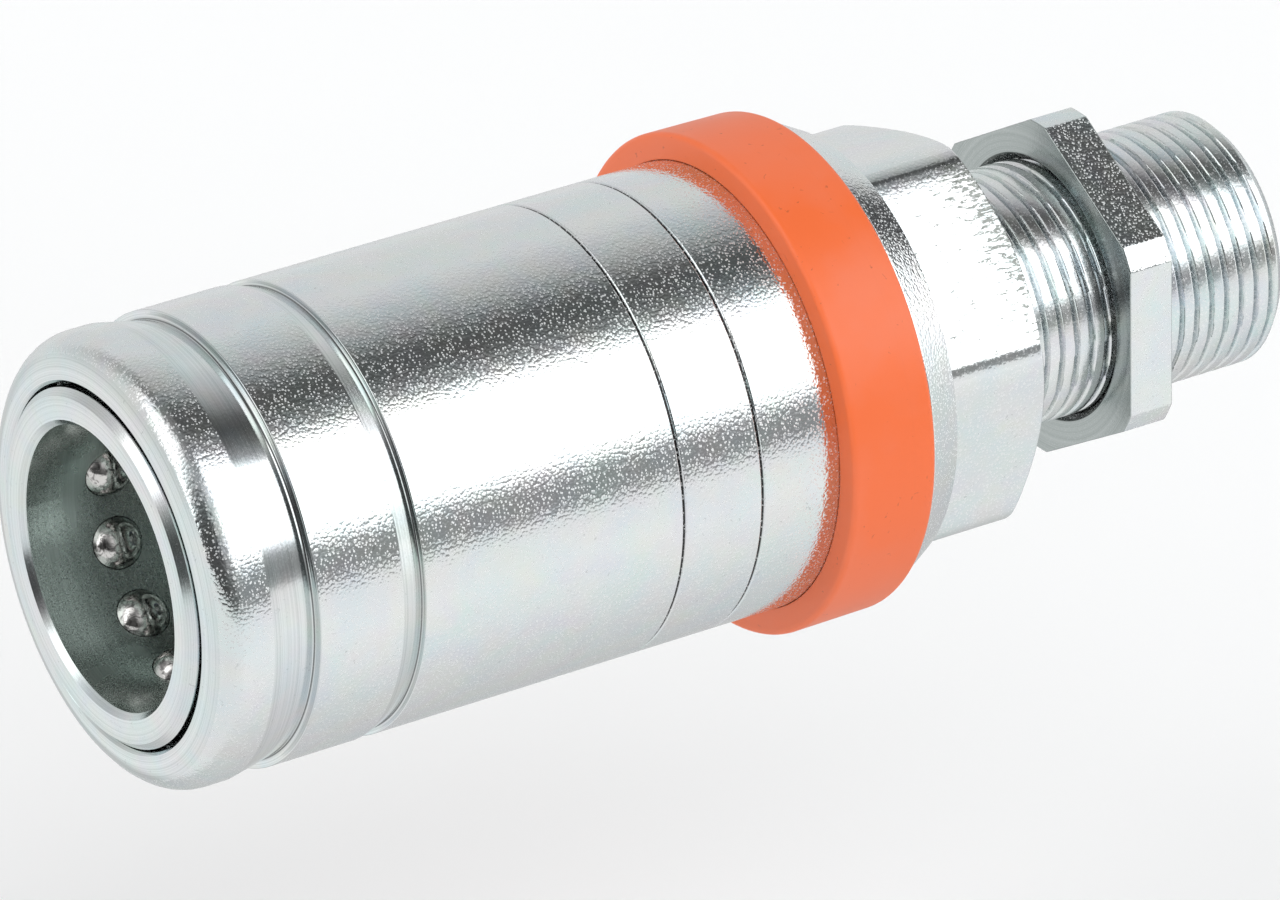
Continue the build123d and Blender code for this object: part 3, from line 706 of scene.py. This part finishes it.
class COUPLING_OT_nut(bpy.types.Operator):
    """Builds the jam nut"""
    bl_idname = "coupling.nut"
    bl_label = "Jam nut"

    def execute(self, context):
        sizes = context.scene.coupling_thread
        flat, corner = sizes.nut_flat / MM, sizes.nut_corner / MM
        clock, front, rear, bore = 27.8, 10.2, 14.4, 11.01
        angles = hexagon_turn(clock, math.degrees(math.acos(flat / corner)))
        side = hexagon_radius(angles, flat, corner, clock)
        sink = 0.55
        stations = [(front, bore + sink, 0.06), (front, side, 0.1), (rear, side, 0.1),
                    (rear, bore + sink, 0.06), (rear - sink, bore, 0.05), (front + sink, bore, 0.05)]
        rows = soften(*turning_outline(stations, side))
        piece = turned_skin("jam_nut_skin", rows, angles, 40.0)

        def faces(finish, along, radius):
            """1 on the two flat ends of the nut, which get a painted shade."""
            middle = (front + rear) / 2 * MM
            off = finish.calc("ABSOLUTE", finish.calc("SUBTRACT", along, middle))
            half = (rear - front) / 2
            return finish.steps(off, (half - 0.12) * MM, (half - 0.02) * MM)

        def mouth(finish, along, radius):
            """1 in the countersinks and the bore, which get a painted shade."""
            return finish.steps(radius, (bore + 0.62) * MM, (bore + 0.52) * MM)

        # Painted shade: the end faces and the mouth are darkened where shade falls.
        shades = ((faces, (0.44, 0.475, 0.465), 0.05), (mouth, (0.12, 0.13, 0.125), 0.1))
        finish = plating("nut plating", context.scene.coupling_finish, grain=0.95, depth=1.6,
                         marks=0.006, frost=1.3,
                         ground=((front - 0.3, front + 0.05), (rear - 0.05, rear + 0.3)),
                         dark=shades, brushed=0.4)
        seat(piece, "lock_nut", finish, "nut_plate", "jam_nut")
        return {"FINISHED"}


class COUPLING_OT_socket(bpy.types.Operator):
    """Finishes the socket body and the locking balls"""
    bl_idname = "coupling.socket"
    bl_label = "Socket and balls"

    def execute(self, context):
        settings = context.scene.coupling_finish
        dress("valve_body", socket_plating(settings))
        dress("locking_balls", ball_steel(settings))
        return {"FINISHED"}


class COUPLING_OT_springs(bpy.types.Operator):
    """Builds the sleeve's two springs and the valve's spring"""
    bl_idname = "coupling.springs"
    bl_label = "Springs"

    def execute(self, context):
        spring = plain_steel("spring wire", (0.42, 0.42, 0.43), 0.32)
        for node, wire, coils, front, rear in (
                ("front_centring_spring", 1.5, 5, "grip_sleeve", "coupling_body"),
                ("rear_centring_spring", 1.5, 5, "coupling_body", "grip_sleeve"),
                ("poppet_spring", 1.2, 4, "valve_poppet", "coupling_body")):
            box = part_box(node)
            piece = coil_skin(node + "_coil", box, wire, coils)
            piece.data.materials.append(spring)
            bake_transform(piece)
            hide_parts(node)
        return {"FINISHED"}


class COUPLING_OT_inner_parts(bpy.types.Operator):
    """Finishes the valve, the washers, the snap rings and the seals"""
    bl_idname = "coupling.inner_parts"
    bl_label = "Valve and seals"

    def execute(self, context):
        clip = plain_steel("snap ring steel", (0.20, 0.20, 0.21), 0.38)
        washer = plain_steel("washer steel", (0.62, 0.63, 0.63), 0.30)
        valve = plain_steel("valve steel", (0.58, 0.60, 0.60), 0.26, 0.5, 0.006)
        rubber = soft_part("black rubber", (0.018, 0.018, 0.019), 0.55)
        backup = soft_part("white backup plastic", (0.78, 0.77, 0.73), 0.45)
        valve_seal = soft_part("valve seal plastic", (0.06, 0.08, 0.20), 0.42)
        for material, nodes in (
                (clip, ("sleeve_circlip", "guide_circlip")),
                (washer, ("front_spring_washer", "rear_spring_washer")),
                (valve, ("poppet", "poppet_tip", "poppet_guide")),
                (rubber, ("bore_seal", "joint_seal")),
                (backup, ("bore_backup_ring", "joint_backup_ring")),
                (valve_seal, ("poppet_seal",))):
            for node in nodes:
                dress(node, material)
        return {"FINISHED"}


# Stage

# Brightness round the axis, as (degrees from +Y towards +Z, value) stops. Which table a direction
# reads depends on its X: right where it points with the thread, left with the nose.
STUDIO_RIGHT = (
    (-180, 0.33), (-175, 0.36), (-171, 0.94), (-147, 1.00), (-123, 0.91), (-99, 0.77), (-75, 0.67),
    (-51, 0.58), (-25, 0.72), (-5, 0.80), (0, 0.76), (43, 0.76), (62, 0.54), (73, 0.34), (83, 0.13),
    (92, 0.08), (101, 0.16), (111, 0.42), (116, 2.1), (161, 2.1), (166.5, 0.48), (173, 0.32), (180, 0.28))
STUDIO_END = (
    (-180, 1.5), (-150, 1.5), (-140, 0.92), (-99, 0.76), (-51, 0.64), (-5, 0.75), (3, 0.60), (10, 0.40),
    (18, 0.18), (25, 0.07), (44, 0.07), (55, 0.30), (62, 1.8), (180, 1.5))
STUDIO_MIDDLE = (
    (-180, 0.12), (-174.5, 0.20), (-168, 0.92), (-140, 0.93), (-90, 0.88), (-33, 0.97), (-5, 0.85),
    (0, 0.74), (36, 0.50), (50, 0.40), (66, 0.19), (99, 0.25), (113, 0.26), (125, 0.70), (146, 0.70),
    (160, 0.42), (174, 0.15), (180, 0.12))
STUDIO_LEFT = (
    (-180, 0.06), (-174.5, 0.12), (-166, 0.90), (-90, 0.90), (-33, 0.97), (-5, 0.88), (0, 0.80),
    (44, 0.76), (53, 0.90), (59, 1.8), (92, 1.8), (106, 0.65), (124, 0.17), (144, 0.06), (163, 0.09),
    (180, 0.06))
TO_MIDDLE, TO_LEFT, TO_END = (-0.10, -0.30), (-0.42, -0.68), (0.82, 0.87)
LIGHT_TINT = (0.985, 0.995, 1.0)
FILL_ENERGY, FILL_ANGLE, FILL_AIM = 1.35, 100, (0.90, 0.25, -0.50)


class LightTree:
    """World nodes that light by direction."""

    def __init__(self):
        world = bpy.data.worlds.new("studio")
        bpy.context.scene.world = world
        world.use_nodes = True
        self.tree = world.node_tree
        self.background = self.tree.nodes["Background"]
        place = self.tree.nodes.new("ShaderNodeTexCoord")
        apart = self.tree.nodes.new("ShaderNodeSeparateXYZ")
        self.tree.links.new(place.outputs["Generated"], apart.inputs[0])
        turn = self.tree.nodes.new("ShaderNodeMath")
        turn.operation = "ARCTAN2"
        self.tree.links.new(apart.outputs["Z"], turn.inputs[0])
        self.tree.links.new(apart.outputs["Y"], turn.inputs[1])
        self.side = apart.outputs["X"]
        self.turn = self.span(turn.outputs[0], -math.pi, math.pi)

    def span(self, value, low, high):
        """Value mapped from low..high to 0..1."""
        node = self.tree.nodes.new("ShaderNodeMapRange")
        node.inputs["From Min"].default_value = low
        node.inputs["From Max"].default_value = high
        self.tree.links.new(value, node.inputs["Value"])
        return node.outputs["Result"]

    def bands(self, table):
        """Brightness by the turn about X: (degrees, value) steps."""
        ramp = self.tree.nodes.new("ShaderNodeValToRGB")
        stops = ramp.color_ramp.elements
        while len(stops) < len(table):
            stops.new(0.5)
        for stop, (degrees, value) in zip(stops, table):
            stop.position = degrees / 360 + 0.5
            stop.color = (*(value * part for part in LIGHT_TINT), 1.0)
        self.tree.links.new(self.turn, ramp.inputs[0])
        return ramp.outputs[0]

    def blend(self, factor, first, second):
        """Mix of two colours."""
        node = self.tree.nodes.new("ShaderNodeMix")
        node.data_type = "RGBA"
        for value, name in ((factor, "Factor"), (first, "A"), (second, "B")):
            self.tree.links.new(value, node.inputs[name])
        return node.outputs["Result"]


def studio_light(level):
    """World of light bands about X, a soft box at the right of the camera with dark round it and
    overhead, and a wide soft light from the nose's side that no reflection shows."""
    light = LightTree()
    right = light.blend(light.span(light.side, *TO_MIDDLE), light.bands(STUDIO_RIGHT),
                        light.bands(STUDIO_MIDDLE))
    across = light.blend(light.span(light.side, *TO_LEFT), right, light.bands(STUDIO_LEFT))
    across = light.blend(light.span(light.side, *TO_END), across, light.bands(STUDIO_END))
    light.tree.links.new(across, light.background.inputs["Color"])
    light.background.inputs["Strength"].default_value = level
    sun = bpy.data.lights.new("front fill", "SUN")
    sun.energy, sun.angle = FILL_ENERGY, math.radians(FILL_ANGLE)
    fill = bpy.data.objects.new("front fill", sun)
    bpy.context.scene.collection.objects.link(fill)
    fill.rotation_euler = Vector(FILL_AIM).to_track_quat("-Z", "Y").to_euler()
    fill.visible_glossy = False


def floor_disc(settings):
    """Flat round floor: rings of points at growing radius about the middle one.

    It takes the shadow and lights the coupling from below, and the plating reflects the light bands
    in its place.
    """
    turns = 96
    radii = np.array([0.3, 0.7, 1.0]) * settings.floor_radius
    v = full_turn(turns)
    ring = np.stack([np.cos(v), np.sin(v)], axis=-1)
    points = np.concatenate([[[0.0, 0.0]], (radii[:, None, None] * ring).reshape(-1, 2)])
    points = np.column_stack([points, np.full(len(points), -settings.floor_drop)])
    mesh = bpy.data.meshes.new("floor")
    inner = np.arange(1, turns + 1)
    beside = np.roll(inner, -1)
    fans = np.column_stack([np.zeros(turns, int), inner, beside]).tolist()
    bands = [np.column_stack([inner + k, inner + k + turns, beside + k + turns, beside + k])
             for k in (0, turns)]
    mesh.from_pydata(points.tolist(), [], fans + np.concatenate(bands).tolist())
    floor = bpy.data.objects.new("floor", mesh)
    bpy.context.scene.collection.objects.link(floor)
    finish = Finish("pale floor", 0.9, 0.0)
    finish.shader.inputs["Specular IOR Level"].default_value = 0.0
    cloud = finish.noise(60.0, detail=2.0)
    base = tuple(settings.floor_colour)
    duller = tuple(c * 0.995 for c in base)
    finish.to("Base Color", finish.blend(finish.steps(cloud, 0.3, 0.7), base, duller))
    mesh.materials.append(finish.material)
    floor.visible_glossy = False


class COUPLING_OT_stage(bpy.types.Operator):
    """Sets up the floor, the studio light and the camera"""
    bl_idname = "coupling.stage"
    bl_label = "Stage"

    def execute(self, context):
        scene = context.scene
        settings = scene.coupling_stage
        studio_light(settings.light_level)
        floor_disc(settings)
        data = bpy.data.cameras.new("camera")
        data.sensor_width = 36.0
        data.lens = settings.lens
        data.clip_start, data.clip_end = 0.05, 20.0
        camera = bpy.data.objects.new("camera", data)
        scene.collection.objects.link(camera)
        camera.location = settings.camera_place
        camera.rotation_euler = (math.pi / 2 - settings.camera_tilt, 0.0, settings.camera_turn)
        scene.camera = camera
        scene.view_settings.view_transform = "Standard"
        return {"FINISHED"}


class COUPLING_PT_panel(bpy.types.Panel):
    """Lists the coupling's operators and sizes"""
    bl_idname = "COUPLING_PT_panel"
    bl_label = "Coupling"
    bl_space_type = "VIEW_3D"
    bl_region_type = "UI"
    bl_category = "Coupling"

    def draw(self, context):
        for operator in OPERATORS:
            self.layout.operator(operator.bl_idname)
        for group in GROUPS:
            settings = getattr(context.scene, group)
            for name in settings.bl_rna.properties.keys():
                if name not in {"rna_type", "name"}:
                    self.layout.prop(settings, name)


GROUPS = {"coupling_sleeve": SleeveSizes, "coupling_thread": ThreadSizes,
          "coupling_finish": FinishSettings, "coupling_stage": StageSettings}
OPERATORS = (COUPLING_OT_sleeve, COUPLING_OT_ring, COUPLING_OT_adapter, COUPLING_OT_nut,
             COUPLING_OT_socket, COUPLING_OT_springs, COUPLING_OT_inner_parts, COUPLING_OT_stage)


def register():
    for item in (*GROUPS.values(), *OPERATORS, COUPLING_PT_panel):
        bpy.utils.register_class(item)
    for name, group in GROUPS.items():
        setattr(bpy.types.Scene, name, bpy.props.PointerProperty(type=group))


def unregister():
    for name in GROUPS:
        delattr(bpy.types.Scene, name)
    for item in reversed((*GROUPS.values(), *OPERATORS, COUPLING_PT_panel)):
        bpy.utils.unregister_class(item)


def main():
    register()
    bpy.ops.coupling.sleeve()
    bpy.ops.coupling.ring()
    bpy.ops.coupling.adapter()
    bpy.ops.coupling.nut()
    bpy.ops.coupling.socket()
    bpy.ops.coupling.springs()
    bpy.ops.coupling.inner_parts()
    bpy.ops.coupling.stage()


if __name__ == "__main__":
    main()
